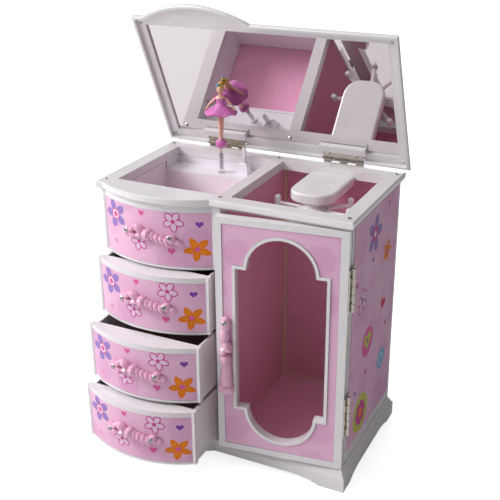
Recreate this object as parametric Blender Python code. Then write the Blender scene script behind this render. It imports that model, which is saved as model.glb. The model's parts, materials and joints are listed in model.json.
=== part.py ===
"""Wind up music box: a small dresser with drawers, a glazed cabin, a mirrored lid and a turning dancer."""
import math

import bpy
import bmesh
from mathutils import Matrix, Vector

MM = 0.001

# ---- driving dimensions in millimetres; the case is centred on x = 0, y = 0 and stands on z = 0 ----
ORIGIN_Y = 19.9                             # shift that puts the origin under the middle of the rest pose
GAP = 0.3                                   # clearance between neighbouring pieces
BOW_LO, BOW_HI, BOW_RISE = -95.5, -5.5, 13.0   # bowed left part of the front: chord ends and rise
BOW_STEPS = 18
RIM_W, RIM_D = 101.5, 58.0                  # half width and half depth
RIM_Z0, RIM_Z1 = 209.2, 216.0
BASE_W, BASE_D, BASE_Z = 102.5, 59.0, 18.0
BAY_Z = 14.6                                # ledge of the base under the lowest drawer
WALL_X, WALL_T = 98.5, 3.0
WALL_Z0, WALL_Z1 = 18.3, 208.9
BACK_Y0, BACK_Y1 = 53.0, 56.0
INNER_Y1 = BACK_Y0 - GAP
FRONT_X0, FRONT_X1, FRONT_Y, FRONT_T = -98.0, -3.2, -54.5, 4.5
TOP_FRONT_Z0 = 160.5
DRAWERS = 3
DRAWER_H, DRAWER_PITCH, DRAWER_Z0 = 46.0, 48.8, 15.2
DRAWER_OPEN = (38.9, 29.1, 11.8)            # bottom to top, how far each stands open at rest
DRAWER_BACK = 46.0
TRAY_X0, TRAY_X1, TRAY_Y0, TRAY_Y1 = -88.6, -3.3, -46.9, 22.0
TRAY_FLOOR, COVER_Z, COVER_Y1 = 182.0, 203.3, 43.5
WELL_X0, WELL_X1, WELL_Y0, WELL_Y1 = 6.1, 90.0, -46.9, 43.0
SPIN_X, SPIN_Y, PIVOT_Z = -43.0, 33.0, 206.0   # upright axis of the dancer and height of the fold
LEVER_X, LEVER_Y, LEVER_Z0, LEVER_Z1 = -25.0, 37.0, 198.8, 225.4
BARREL_X, BARREL_Z = -52.0, 178.0
CYL_Y, CYL_Z, CYL_R = 41.0, 178.0, 5.0
FLY_X = -5.9
HUB_X, HUB_Y, HUB_Z = 49.5, 0.0, 197.6
SPOKES, SPOKE_R, SPOKE_TURN = 8, 29.5, 174.5
LID_W, LID_Y0, LID_Y1 = 104.6, -60.0, 59.6
LID_Z0, LID_Z1, LID_OPEN = 216.4, 226.4, 65.0
LID_AXIS_Y, LID_AXIS_Z = 59.2, 218.3
LID_HINGE_X = (-50.5, 51.0)
MIRROR_X, MIRROR_Y0, MIRROR_Y1, MIRROR_Z0, MIRROR_Z1 = 95.8, -52.0, 50.1, 221.4, 223.2
DOOR_X0, DOOR_X1, DOOR_Z0, DOOR_Z1 = 2.0, 98.4, 18.7, 208.6
DOOR_Y0, DOOR_Y1, DOOR_AJAR = -56.0, -49.5, 7.2
DOOR_AXIS_X, DOOR_AXIS_Y = 100.5, -50.5
DOOR_HINGE_Z = (46.0, 147.5)
HINGE_L = 33.0
WINDOW_X, WINDOW_R = 50.6, 25.4             # middle and radius of the round ends of the door's window
WINDOW_X0, WINDOW_X1, WINDOW_Z0, WINDOW_Z1 = 16.9, 83.8, 57.5, 170.9
TRIM = 2.3                                  # width of the moulding round the window
DANCER_TURN = 18.0                          # how far the dancer faces round from the front at rest

# ---- finishes: colour, roughness, metallic ----
FINISHES = {
    "white": ((0.83, 0.81, 0.84), 0.30, 0.0),
    "print": ((0.80, 0.50, 0.66), 0.35, 0.0),
    "pink": ((0.90, 0.50, 0.64), 0.28, 0.0),
    "lining": ((0.52, 0.22, 0.33), 0.85, 0.0),
    "clear": ((0.95, 0.95, 0.97), 0.05, 0.0),
    "mirror": ((0.90, 0.90, 0.90), 0.02, 1.0),
    "nickel": ((0.78, 0.75, 0.70), 0.22, 1.0),
    "steel": ((0.60, 0.60, 0.62), 0.35, 1.0),
    "brass": ((0.80, 0.60, 0.28), 0.30, 1.0),
    "dress": ((0.78, 0.27, 0.60), 0.35, 0.0),
}

for old in list(bpy.data.objects):
    bpy.data.objects.remove(old, do_unlink=True)


# ---- meshes ----
def to_object(bm):
    bmesh.ops.recalc_face_normals(bm, faces=bm.faces)
    mesh = bpy.data.meshes.new("piece")
    bm.to_mesh(mesh)
    bm.free()
    ob = bpy.data.objects.new("piece", mesh)
    bpy.context.scene.collection.objects.link(ob)
    return ob


def loft(rings):
    """Closed body through rings of equally many points, flat at both ends."""
    bm = bmesh.new()
    rows = [[bm.verts.new(Vector(point) * MM) for point in ring] for ring in rings]
    count = len(rows[0])
    for low, high in zip(rows, rows[1:]):
        for i in range(count):
            j = (i + 1) % count
            bm.faces.new((low[i], low[j], high[j], high[i]))
    bm.faces.new(list(reversed(rows[0])))
    bm.faces.new(rows[-1])
    return to_object(bm)


def along(axis, u, v, w):
    """Point with w measured along the axis and u, v across it."""
    return {"X": (w, u, v), "Y": (u, w, v), "Z": (u, v, w)}[axis]


def prism(points, axis, lo, hi):
    return loft([[along(axis, u, v, w) for u, v in points] for w in (lo, hi)])


def box(x0, x1, y0, y1, z0, z1):
    return prism([(x0, y0), (x1, y0), (x1, y1), (x0, y1)], "Z", z0, z1)


def arc(cu, cv, r, start, end, steps):
    angles = [math.radians(start + (end - start) * i / steps) for i in range(steps + 1)]
    return [(cu + r * math.cos(a), cv + r * math.sin(a)) for a in angles]


def circle(cu, cv, r, n=16, start=0.0):
    return arc(cu, cv, r, start, start + 360, n)[:-1]


def rod(axis, cu, cv, r, lo, hi, n=16, start=0.0):
    return prism(circle(cu, cv, r, n, start), axis, lo, hi)


def lathe(axis, cu, cv, profile, n=20, start=0.0):
    """Turned body; the profile holds (radius, height along the axis) pairs."""
    return loft([[along(axis, u, v, h) for u, v in circle(cu, cv, r, n, start)] for r, h in profile])


def ball(centre, radii, n=10, m=5, tilt=0.0):
    """Ellipsoid, tilted about Y."""
    turn = Matrix.Rotation(math.radians(tilt), 3, "Y")
    rings = []
    for j in range(m + 1):
        t = math.pi * (0.03 + 0.94 * j / m)
        flat = circle(0, 0, math.sin(t), n)
        ring = [turn @ Vector((radii[0] * u, radii[1] * v, -radii[2] * math.cos(t))) for u, v in flat]
        rings.append([point + Vector(centre) for point in ring])
    return loft(rings)


def limb(a, b, ra, rb, n=6):
    """Tapered bar from a to b with blunt rounded ends."""
    a, b = Vector(a), Vector(b)
    axis = (b - a).normalized()
    side = axis.orthogonal().normalized()
    other = axis.cross(side)
    rings = []
    for point, r, step in ((a, ra * 0.5, -0.35), (a, ra, 0), (b, rb, 0), (b, rb * 0.5, 0.35)):
        middle = point + axis * (2 * r * step)
        rings.append([middle + side * u + other * v for u, v in circle(0, 0, r, n)])
    return loft(rings)


def gear(cu, cv, r, tooth, n):
    """Outline of a gear whose teeth stand out by tooth."""
    points = []
    for i in range(n):
        for share, radius in ((-0.28, r - tooth), (-0.14, r), (0.14, r), (0.28, r - tooth)):
            a = 2 * math.pi * (i + share) / n
            points.append((cu + radius * math.cos(a), cv + radius * math.sin(a)))
    return points


def boolean(ob, others, operation):
    for other in others:
        modifier = ob.modifiers.new("shape", "BOOLEAN")
        modifier.operation = operation
        modifier.solver = "EXACT"
        modifier.object = other
        depsgraph = bpy.context.evaluated_depsgraph_get()
        mesh = bpy.data.meshes.new_from_object(ob.evaluated_get(depsgraph))
        ob.modifiers.clear()
        ob.data = mesh
        bpy.data.objects.remove(other, do_unlink=True)
    return ob


def cut(ob, *others):
    return boolean(ob, others, "DIFFERENCE")


def join(ob, *others):
    return boolean(ob, others, "UNION")


def copy_of(ob):
    new = ob.copy()
    new.data = ob.data.copy()
    bpy.context.scene.collection.objects.link(new)
    return new


# ---- pivots and named pieces ----
MESH_ORIGIN = {}


def pivot(name, place, slide=(0, 0, 0), turn=(0, 0, 0), mesh_origin=None):
    """Empty on a joint's axis, slid and turned to the rest pose; its pieces are drawn unmoved."""
    empty = bpy.data.objects.new(name, None)
    empty.location = (Vector(place) + Vector(slide) + Vector((0, ORIGIN_Y, 0))) * MM
    empty.rotation_euler = [math.radians(a) for a in turn]
    bpy.context.scene.collection.objects.link(empty)
    MESH_ORIGIN[name] = Vector(mesh_origin or place) * MM
    return empty


def material(name, finish):
    colour, roughness, metallic = FINISHES[finish]
    mat = bpy.data.materials.new(name)
    mat.use_nodes = True
    shader = mat.node_tree.nodes["Principled BSDF"]
    shader.inputs["Base Color"].default_value = colour + (1.0,)
    shader.inputs["Roughness"].default_value = roughness
    shader.inputs["Metallic"].default_value = metallic
    return mat


def node(name, ob, finish, on=None):
    """Name a piece, tidy its mesh, give it its material and hang it on its pivot."""
    bm = bmesh.new()
    bm.from_mesh(ob.data)
    bmesh.ops.remove_doubles(bm, verts=bm.verts, dist=2e-6)
    bmesh.ops.dissolve_degenerate(bm, dist=2e-6, edges=bm.edges)
    bmesh.ops.triangulate(bm, faces=[f for f in bm.faces if len(f.verts) > 4])
    bm.to_mesh(ob.data)
    bm.free()
    ob.data.shade_smooth()
    ob.data.set_sharp_from_angle(angle=math.radians(35))
    ob.data.materials.clear()
    ob.data.materials.append(material(name, finish))
    ob.name = name
    if on is None:
        ob.location = (0, ORIGIN_Y * MM, 0)
    else:
        ob.data.transform(Matrix.Translation(-MESH_ORIGIN[on.name]))
        ob.parent = on


# ---- bowed outline ----
def bow_circle(off):
    """Middle, half chord and radius of the bow, moved in by off."""
    trim = 0.29 * off
    middle, half = (BOW_LO + BOW_HI) / 2, (BOW_HI - BOW_LO) / 2 - trim
    return middle, half, (half * half + BOW_RISE * BOW_RISE) / (2 * BOW_RISE)


def bow(x, off=0.0):
    """How far the front stands out at x."""
    middle, half, r = bow_circle(off)
    if abs(x - middle) >= half:
        return 0.0
    return math.sqrt(r * r - (x - middle) ** 2) - (r - BOW_RISE)


def bow_xs(off=0.0):
    middle, half, r = bow_circle(off)
    a = math.asin(half / r)
    return [middle + r * math.sin(a * (2 * i / BOW_STEPS - 1)) for i in range(BOW_STEPS + 1)]


def outline(w, y0, y1, off):
    """Case plan, bowed at the left of the front, moved in by off."""
    points = [(-w + off, y0 + off)]
    points += [(x, y0 + off - bow(x, off)) for x in bow_xs(off)]
    return points + [(w - off, y0 + off), (w - off, y1 - off), (-w + off, y1 - off)]


def stack(w, y0, y1, layers):
    """Body with the bowed plan at each (height, inset) layer."""
    return loft([[(x, y, z) for x, y in outline(w, y0, y1, off)] for z, off in layers])


# ---- pivots ----
lid_pivot = pivot("lid_pivot", (0, LID_AXIS_Y, LID_AXIS_Z), turn=(-LID_OPEN, 0, 0))
door_pivot = pivot("door_pivot", (DOOR_AXIS_X, DOOR_AXIS_Y, 100), turn=(0, 0, DOOR_AJAR))
carousel_pivot = pivot("carousel_pivot", (HUB_X, HUB_Y, HUB_Z))
cylinder_pivot = pivot("cylinder_pivot", (-26, CYL_Y, CYL_Z))
barrel_pivot = pivot("barrel_pivot", (BARREL_X, 45, BARREL_Z))
fly_pivot = pivot("fly_pivot", (FLY_X, CYL_Y, 182))
spindle_pivot = pivot("spindle_pivot", (SPIN_X, SPIN_Y, 195))
stem_pivot = pivot("stem_pivot", (SPIN_X, SPIN_Y, PIVOT_Z))
dancer_pivot = pivot("dancer_pivot", (SPIN_X, SPIN_Y, 215), turn=(0, 0, DANCER_TURN), mesh_origin=(0, 0, 215))
lever_pivot = pivot("lever_pivot", (LEVER_X, LEVER_Y, LEVER_Z0))
drawer_pivots = []
for i in range(DRAWERS):
    middle = ((FRONT_X0 + FRONT_X1) / 2, FRONT_Y, DRAWER_Z0 + DRAWER_H / 2 + i * DRAWER_PITCH)
    drawer_pivots.append(pivot("drawer_%d_pivot" % (i + 1), middle, slide=(0, -DRAWER_OPEN[i], 0)))

# ---- base with bracket feet ----
base_foot = [(0, 0.5), (0.6, 0), (11.4, 0), (12.3, 0.5)]
base_layers = base_foot + [(13.4, 1.4), (15.0, 1.9), (16.4, 2.9), (BASE_Z, 3.7)]
base = stack(BASE_W, -BASE_D, BASE_D, base_layers)
cut(base, stack(BASE_W, -BASE_D, BASE_D, [(-1, 5.0), (9.0, 5.0)]))
FOOT = [(0, 0), (-2, 1.8), (-5, 2.2), (-6, 3.2), (-11, 4.1), (-16, 4.8), (-21.4, 5.2)]


def arch(half):
    """Cut-out between two bracket feet, half wide each way."""
    right = [(half, -1)] + [(half + u, v) for u, v in FOOT]
    return right + [(-u, v) for u, v in reversed(right)]


cut(base, prism(arch(82.0), "Y", -90, 90))
cut(base, prism(arch(44.6), "X", -120, 120))
cut(base, box(FRONT_X0 - 0.4, FRONT_X1 + GAP, -90, INNER_Y1, BAY_Z, 30))
node("base_plinth", base, "white")

# ---- case ----
node("left_wall", box(-WALL_X, -WALL_X + WALL_T, -49.7, INNER_Y1, WALL_Z0, WALL_Z1), "white")
node("right_wall", box(WALL_X - WALL_T, WALL_X, -49.0, INNER_Y1, WALL_Z0, WALL_Z1), "white")
back = box(-WALL_X, WALL_X, BACK_Y0, BACK_Y1, WALL_Z0, WALL_Z1)
cut(back, rod("Y", BARREL_X, BARREL_Z, 2.6, 50, 60, 20))
node("back_panel", back, "white")
partition = box(-1.4, 3.6, -49.0, INNER_Y1, WALL_Z0, WALL_Z1)
join(partition, box(-2.9, 1.6, -55.0, -48.85, WALL_Z0, WALL_Z1))
node("centre_partition", partition, "white")
for i in range(DRAWERS):
    z = DRAWER_Z0 + DRAWER_H + i * DRAWER_PITCH + 0.4
    shelf = box(-WALL_X + WALL_T + GAP, FRONT_X1 + 0.1, -49.6, INNER_Y1, z, z + 2.0)
    node("drawer_shelf_%d" % (i + 1), shelf, "white")
rim_layers = [(RIM_Z0, 2.6), (210.2, 2.1), (210.9, 1.2), (211.3, 0.2), (211.8, 0), (215.0, 0), (215.7, 0.3)]
rim = stack(RIM_W, -RIM_D, RIM_D, rim_layers + [(RIM_Z1, 0.9)])
cut(rim, box(TRAY_X0, TRAY_X1, TRAY_Y0, COVER_Y1, 200, 220))
cut(rim, box(WELL_X0, WELL_X1, WELL_Y0, WELL_Y1, 200, 220))
node("top_rim", rim, "white")


# ---- bowed fronts ----
def bowed_edge(x0, x1, out):
    """Points along the bowed front between x0 and x1, moved back by out."""
    xs = [x0] + [x for x in bow_xs() if x0 + 0.05 < x < x1 - 0.05] + [x1]
    return [(x, FRONT_Y - bow(x) + out) for x in xs]


def front_panel(z0, z1):
    """Bowed panel with a shallow recess for its printed sheet."""
    edge = bowed_edge(FRONT_X0, FRONT_X1, 0.0)
    panel = prism(edge + [(FRONT_X1, FRONT_Y + FRONT_T), (FRONT_X0, FRONT_Y + FRONT_T)], "Z", z0, z1)
    x0, x1 = FRONT_X0 + 2.2, FRONT_X1 - 2.4
    return cut(panel, prism(bowed_edge(x0, x1, 0.8) + [(x1, -90), (x0, -90)], "Z", z0 + 2.0, z1 - 4.2))


def front_print(z0, z1):
    """Thin bowed sheet that lies in the panel's recess."""
    x0, x1 = FRONT_X0 + 2.4, FRONT_X1 - 2.6
    return prism(bowed_edge(x0, x1, 0.15) + bowed_edge(x0, x1, 0.7)[::-1], "Z", z0 + 2.2, z1 - 4.4)


def swag(z):
    """Moulded ribbon pull: an end boss, a bow with a knot, a twisted tail and a curl."""
    def lump(x, dz, radii, out=0.0, tilt=0.0):
        return ball((x, FRONT_Y - bow(x) - 1.6 - out, z + dz), radii, tilt=tilt)
    lumps = [
        lump(-68.0, 0.0, (3.6, 3.8, 3.9)),
        lump(-63.6, 3.4, (4.8, 4.0, 2.3), 0.4, -38),
        lump(-63.0, -1.0, (4.6, 3.8, 2.3), 0.2, 18),
        lump(-57.4, 4.2, (4.6, 4.4, 2.4), 0.6, 34),
        lump(-57.0, -0.2, (4.2, 4.2, 2.2), 0.4, -12),
        lump(-50.6, 1.2, (3.9, 5.2, 4.3), 1.0),
    ]
    for i in range(4):
        lumps.append(lump(-45.6 + 3.7 * i, 0.2 - 1.0 * i, (4.3, 4.2, 1.9), 0.4, 52))
    lumps.append(lump(-32.0, -0.9, (3.4, 3.8, 3.6)))
    lumps.append(lump(-27.2, -3.0, (3.4, 3.0, 1.8), 0.0, 30))
    pull = join(lumps[0], *lumps[1:])
    return cut(pull, prism(bowed_edge(-80, -15, -0.15) + [(-15, -40), (-80, -40)], "Z", z - 30, z + 30))


node("fixed_front", front_panel(TOP_FRONT_Z0, WALL_Z1), "white")
node("fixed_front_print", front_print(TOP_FRONT_Z0, WALL_Z1), "print")
PULL_Z = 185.2
top_pull = swag(PULL_Z)
top_middle = (TOP_FRONT_Z0 + WALL_Z1) / 2 - 0.2

for i, on in enumerate(drawer_pivots):
    name = "drawer_%d" % (i + 1)
    z0 = DRAWER_Z0 + i * DRAWER_PITCH
    z1 = z0 + DRAWER_H
    drawer = front_panel(z0, z1)
    join(drawer, box(-94.6, -4.6, -51.2, DRAWER_BACK, z0 + 0.1, z1 - 0.6))
    cut(drawer, box(-92.8, -6.4, FRONT_Y + FRONT_T, DRAWER_BACK - 1.8, z0 + 2.0, z1 + 5))
    node(name, drawer, "white", on)
    node(name + "_print", front_print(z0, z1), "print", on)
    lining = box(-92.5, -6.7, FRONT_Y + FRONT_T + GAP, DRAWER_BACK - 2.1, z0 + 2.1, z0 + 2.9)
    node(name + "_lining", lining, "lining", on)
    pull = copy_of(top_pull)
    pull.data.transform(Matrix.Translation((0, 0, ((z0 + z1) / 2 - top_middle) * MM)))
    node(name + "_pull", pull, "pink", on)
node("fixed_front_pull", top_pull, "pink")

# ---- jewellery tray and movement cover ----
tray = box(TRAY_X0 - 1.8, TRAY_X1 + 1.6, TRAY_Y0 - 1.8, TRAY_Y1 + 1.8, TRAY_FLOOR - 1.8, WALL_Z1)
cut(tray, box(TRAY_X0, TRAY_X1, TRAY_Y0, TRAY_Y1, TRAY_FLOOR, 220))
cut(tray, box(TRAY_X0 - 5, TRAY_X1 + 5, TRAY_Y1 - 0.01, TRAY_Y1 + 5, COVER_Z - 0.1, 220))
node("jewellery_tray", tray, "white")
felt = box(TRAY_X0 + 0.2, TRAY_X1 - 0.2, TRAY_Y0 + 0.2, TRAY_Y1 - 0.2, TRAY_FLOOR + 0.1, TRAY_FLOOR + 0.9)
node("tray_lining", felt, "lining")
cover = box(TRAY_X0 - 1.8, TRAY_X1 + 1.6, TRAY_Y1 + 2.1, COVER_Y1 + 1.8, COVER_Z - 1.8, WALL_Z1)
cut(cover, box(TRAY_X0, TRAY_X1, TRAY_Y1 - 5, COVER_Y1, COVER_Z, 220))


def square_tower(layers):
    """Upright rectangular tower round the stop lever; layers are half x, half y, height."""
    rings = []
    for a, b, z in layers:
        corners = ((-a, -b), (a, -b), (a, b), (-a, b))
        rings.append([(LEVER_X + u, LEVER_Y + v, z) for u, v in corners])
    return loft(rings)


tower = ((5.2, 4.2, -1.0), (4.4, 3.6, 4.0), (3.4, 3.0, 8.5), (2.6, 2.4, 9.5))
join(cover, square_tower([(a, b, COVER_Z + h) for a, b, h in tower]))
cut(cover, rod("Z", SPIN_X, SPIN_Y, 1.7, 190, 220, 20))
cut(cover, box(LEVER_X - 1.7, LEVER_X + 1.7, LEVER_Y - 1.7, LEVER_Y + 1.7, 190, 230))
node("movement_cover", cover, "white")

# ---- cabin ----
lining = box(3.9, 95.2, -48.7, INNER_Y1, WALL_Z0, WALL_Z1)
cut(lining, box(4.7, 94.4, -60, 51.9, WALL_Z0 + 0.8, 220))
node("cabin_lining", lining, "lining")

ARM_X, ARM_HALF, ARM_FRONT, ARM_SHOULDER, ARM_BACK = 48.6, 17.4, -9.6, 7.0, 42.7


def arm_plan(inset):
    """Plan of the carousel arm: straight sides and a blunt rounded front."""
    half, depth = ARM_HALF - inset, ARM_SHOULDER - ARM_FRONT - inset
    front = []
    for u, v in circle(0, 0, 1, 32)[16:] + [(1.0, 0.0)]:
        u, v = (math.copysign(abs(c) ** 0.75, c) for c in (u, v))
        front.append((ARM_X + half * u, ARM_SHOULDER + depth * v))
    return [(ARM_X + half, ARM_BACK), (ARM_X - half, ARM_BACK)] + front


arm_layers = ((204.0, 1.2), (205.0, 0.2), (206.0, 0), (210.6, 0), (211.6, 0.5), (212.0, 1.6))
arm = loft([[(u, v, z) for u, v in arm_plan(inset)] for z, inset in arm_layers])
join(arm, box(36, 61, 41, 51.6, 204.4, 208.7))
join(arm, lathe("Z", HUB_X, HUB_Y, [(2.2, 192.0), (2.6, 193.0), (2.6, 205.0)]))
cut(arm, rod("Z", HUB_X, HUB_Y, 1.0, 190.0, 196.0, 12))
node("carousel_arm", arm, "white")

hub = lathe("Z", HUB_X, HUB_Y, [(9.6, 194.2), (11.4, 195.4), (11.4, 198.6), (7.4, 200.4), (6.3, 203.4)], 20)
for i in range(SPOKES):
    a = math.radians(SPOKE_TURN + 360 / SPOKES * i)
    near = (HUB_X + 9.5 * math.cos(a), HUB_Y + 9.5 * math.sin(a))
    far = (HUB_X + SPOKE_R * math.cos(a), HUB_Y + SPOKE_R * math.sin(a))
    peg = lathe("Z", *far, [(1.6, 195.4), (2.4, 196.2), (2.4, 202.2), (1.6, 203.4)], 10, math.degrees(a))
    join(hub, limb((*near, HUB_Z), (*far, HUB_Z), 1.8, 1.6), peg)
cut(hub, rod("Z", HUB_X, HUB_Y, 2.9, 190, 210, 20))
node("carousel_hub", hub, "white", carousel_pivot)

# ---- side prints ----
node("side_print_left", box(-WALL_X - 0.6, -WALL_X - 0.1, -48.0, 51.0, 27.0, 208.0), "print")
node("side_print_right", box(WALL_X + 0.1, WALL_X + 0.6, -45.0, 51.0, 27.0, 208.0), "print")


# ---- hinges ----
CASE_KNUCKLES = ((0.0, 6.4), (13.3, 19.7), (26.6, HINGE_L))
LEAF_KNUCKLES = ((6.7, 13.0), (20.0, 26.3))


def rectangle(u0, u1, v0, v1):
    return [(u0, v0), (u1, v0), (u1, v1), (u0, v1)]


def leaf(axis, cu, cv, lo, knuckles, plate, tab, r):
    """Hinge plate with rolled knuckles joined by tabs; plate and tab are u, v rectangles."""
    ob = prism(rectangle(*plate), axis, lo, lo + HINGE_L)
    for a, b in knuckles:
        join(ob, prism(rectangle(*tab), axis, lo + a, lo + b))
        join(ob, rod(axis, cu, cv, r, lo + a, lo + b, 12, 6))
    return ob


def with_pin(ob, axis, cu, cv, lo, r):
    return join(ob, rod(axis, cu, cv, r, lo - 0.5, lo + HINGE_L + 0.5, 12, 11))


def with_bore(ob, axis, cu, cv, lo, r):
    return cut(ob, rod(axis, cu, cv, r, lo - 5, lo + HINGE_L + 5, 12, 11))


for i, x in enumerate(LID_HINGE_X):
    lid_pin = ("X", LID_AXIS_Y, LID_AXIS_Z, x - HINGE_L / 2)
    fixed = leaf(*lid_pin, CASE_KNUCKLES, (58.3, 59.1, 203.5, 215.9), (58.3, 59.1, 214.9, 217.6), 1.9)
    node("lid_hinge_case_leaf_%d" % (i + 1), with_pin(fixed, *lid_pin, 0.8), "nickel")
    moving = leaf(*lid_pin, LEAF_KNUCKLES, (51.8, 56.8, 217.8, 218.6), (55.8, 58.2, 217.8, 218.6), 1.9)
    node("lid_hinge_lid_leaf_%d" % (i + 1), with_bore(moving, *lid_pin, 1.0), "nickel", lid_pivot)
for i, z in enumerate(DOOR_HINGE_Z):
    door_pin = ("Z", DOOR_AXIS_X, DOOR_AXIS_Y, z)
    fixed = leaf(*door_pin, CASE_KNUCKLES, (98.7, 99.5, -48.4, -45.2), (98.7, 99.5, -50.0, -47.4), 1.6)
    node("door_hinge_case_leaf_%d" % (i + 1), with_pin(fixed, *door_pin, 0.7), "nickel")
    moving = leaf(*door_pin, LEAF_KNUCKLES, (98.6, 99.4, -55.8, -52.4), (98.6, 99.4, -53.4, -50.9), 1.6)
    node("door_hinge_door_leaf_%d" % (i + 1), with_bore(moving, *door_pin, 0.9), "nickel", door_pivot)

# ---- lid ----
dome = ((0, 0.6), (0.6, 0), (2.4, 0), (4.6, 1.3), (7.0, 4.0), (8.8, 7.2), (10.0, 11.0))
shell = stack(LID_W, LID_Y0, LID_Y1, [(LID_Z0 + h, off) for h, off in dome])
cavity = ((-2.0, 2.5), (3.0, 2.5), (7.0, 6.4), (7.8, 8.0))
cut(shell, stack(LID_W, LID_Y0, LID_Y1, [(LID_Z0 + h, off) for h, off in cavity]))
bezel = stack(LID_W, LID_Y0, LID_Y1, [(LID_Z0 + 3.2, 3.0), (MIRROR_Z1 + 0.1, 6.9)])
for x in LID_HINGE_X:
    cut(shell, box(x - 17.0, x + 17.0, 56.5, 62.0, 210, 221.2))
    join(bezel, box(x - 16.2, x + 16.2, 51.4, 55.4, 218.8, 220.6))
    join(bezel, box(x - 18.7, x + 18.7, 45.6, 51.5, 216.9, 220.6))
cut(bezel, box(-MIRROR_X, MIRROR_X, MIRROR_Y0, 45.7, 210, 230))
cut(bezel, box(-MIRROR_X, MIRROR_X, 45.1, MIRROR_Y1, MIRROR_Z0 - 0.4, 230))
block_sides = [x + side for x in LID_HINGE_X for side in (-18.8, 18.8)]
ends = [-MIRROR_X] + block_sides + [MIRROR_X]
for x0, x1 in zip(ends[::2], ends[1::2]):
    cut(bezel, box(x0, x1, 45.1, MIRROR_Y1, 210, MIRROR_Z0))
node("lid_shell", shell, "white", lid_pivot)
node("lid_bezel", bezel, "white", lid_pivot)
glass = (-MIRROR_X + GAP, MIRROR_X - GAP, MIRROR_Y0 + GAP, MIRROR_Y1 - GAP, MIRROR_Z0, MIRROR_Z1)
node("lid_mirror", box(*glass), "mirror", lid_pivot)


# ---- door ----
def window(off):
    """Opening with stepped shoulders and round ends, grown by off."""
    x0, x1, z0, z1 = WINDOW_X0 - off, WINDOW_X1 + off, WINDOW_Z0 - off, WINDOW_Z1 + off
    r = WINDOW_R + off
    top = arc(WINDOW_X, WINDOW_Z1, r, 0, 180, 16)[1:-1]
    bottom = arc(WINDOW_X, WINDOW_Z0, r, 180, 360, 16)[1:-1]
    points = [(x1, z0), (x1, z1), (WINDOW_X + r, z1)] + top + [(WINDOW_X - r, z1), (x0, z1)]
    return points + [(x0, z0), (WINDOW_X - r, z0)] + bottom + [(WINDOW_X + r, z0)]


frame = box(DOOR_X0, DOOR_X1, DOOR_Y0, DOOR_Y1, DOOR_Z0, DOOR_Z1)
cut(frame, box(DOOR_X0 + 5.2, DOOR_X1 - 6.0, -60, DOOR_Y0 + 1.2, DOOR_Z0 + 4.7, DOOR_Z1 - 4.7))
join(frame, prism(window(TRIM), "Y", DOOR_Y0 - 0.2, DOOR_Y0 + 3.0))
cut(frame, prism(window(0.0), "Y", -70, -40))
node("door_frame", frame, "white", door_pivot)
sheet = box(DOOR_X0 + 5.5, DOOR_X1 - 6.3, DOOR_Y0 + 0.5, DOOR_Y0 + 1.1, DOOR_Z0 + 5.0, DOOR_Z1 - 5.0)
cut(sheet, prism(window(TRIM + GAP), "Y", -70, -40))
node("door_print", sheet, "print", door_pivot)
node("door_pane", prism(window(-GAP), "Y", DOOR_Y0 + 3.2, DOOR_Y0 + 4.4), "clear", door_pivot)


def door_swag(x, y):
    """Upright moulded pull: a ribbon, its bow and knot, a fluted drop and three leaves."""
    lumps = [
        ball((x, y - 1.4, 126.5), (3.9, 3.6, 6.6)),
        ball((x - 0.6, y - 2.0, 117.0), (3.6, 3.6, 7.4), tilt=8),
        ball((x + 1.4, y - 2.4, 109.0), (3.4, 4.2, 5.2), tilt=-28),
        ball((x - 1.4, y - 2.4, 105.0), (3.2, 4.4, 4.8), tilt=30),
        ball((x, y - 2.6, 98.2), (4.3, 5.0, 4.5)),
        lathe("Z", x, y - 1.8, [(4.6, 76.5), (4.3, 84.0), (3.7, 91.0), (3.3, 95.5)], 14),
        ball((x - 2.6, y - 2.0, 73.6), (3.6, 4.2, 4.4), tilt=12),
        ball((x + 2.4, y - 2.0, 72.6), (3.6, 4.2, 4.2), tilt=-12),
        ball((x, y - 2.4, 71.8), (3.4, 4.6, 4.0)),
    ]
    pull = join(lumps[0], *lumps[1:])
    return cut(pull, box(-20, 40, DOOR_Y0 - 0.35, -40, 40, 160))


node("door_pull", door_swag(9.9, DOOR_Y0 - GAP), "pink", door_pivot)

# ---- music works ----
plate = box(-66, -9, 49.0, 51.4, 165.0, 199.0)
join(plate, box(-38, -14, 35.2, 49.5, 184.4, 190.0), box(-41.9, -40.5, 38.0, 49.5, 174.5, 181.5))
cut(plate, rod("Y", BARREL_X, BARREL_Z, 2.2, 40, 60, 20))
node("movement_plate", plate, "steel")

drum = [(1.8, 29.5), (1.8, 31.6), (8.0, 32.0), (8.4, 32.4), (8.4, 46.0), (1.8, 46.6), (1.8, 60.0)]
barrel = lathe("Y", BARREL_X, BARREL_Z, drum, 28)
join(barrel, prism(gear(BARREL_X, BARREL_Z, 9.8, 1.2, 28), "Y", 44.8, 47.2))
node("spring_barrel", barrel, "brass", barrel_pivot)

KEY_Y = 68.0
key = lathe("Y", BARREL_X, BARREL_Z, [(3.2, 57.6), (3.6, 58.2), (3.6, 64.0), (2.4, 66.0)], 18)
for side in (-1, 1):
    z = BARREL_Z - 0.1 * side
    join(key, rod("Z", BARREL_X + 5.5 * side, KEY_Y, 6.0, z - 1.1, z + 1.1, 18))
join(key, box(BARREL_X - 4, BARREL_X + 4, KEY_Y - 5, KEY_Y + 3, BARREL_Z - 1.4, BARREL_Z + 1.4))
for side in (-1, 1):
    cut(key, rod("Z", BARREL_X + 7.0 * side, KEY_Y, 2.6, BARREL_Z - 5, BARREL_Z + 5, 14))
cut(key, rod("Y", BARREL_X, BARREL_Z, 2.1, 50, 60.4, 18))
node("winding_key", key, "nickel", barrel_pivot)

CYL_X0, CYL_STEP, CYL_STEPS, CYL_SIDES = -39.0, 1.6, 14, 20


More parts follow.
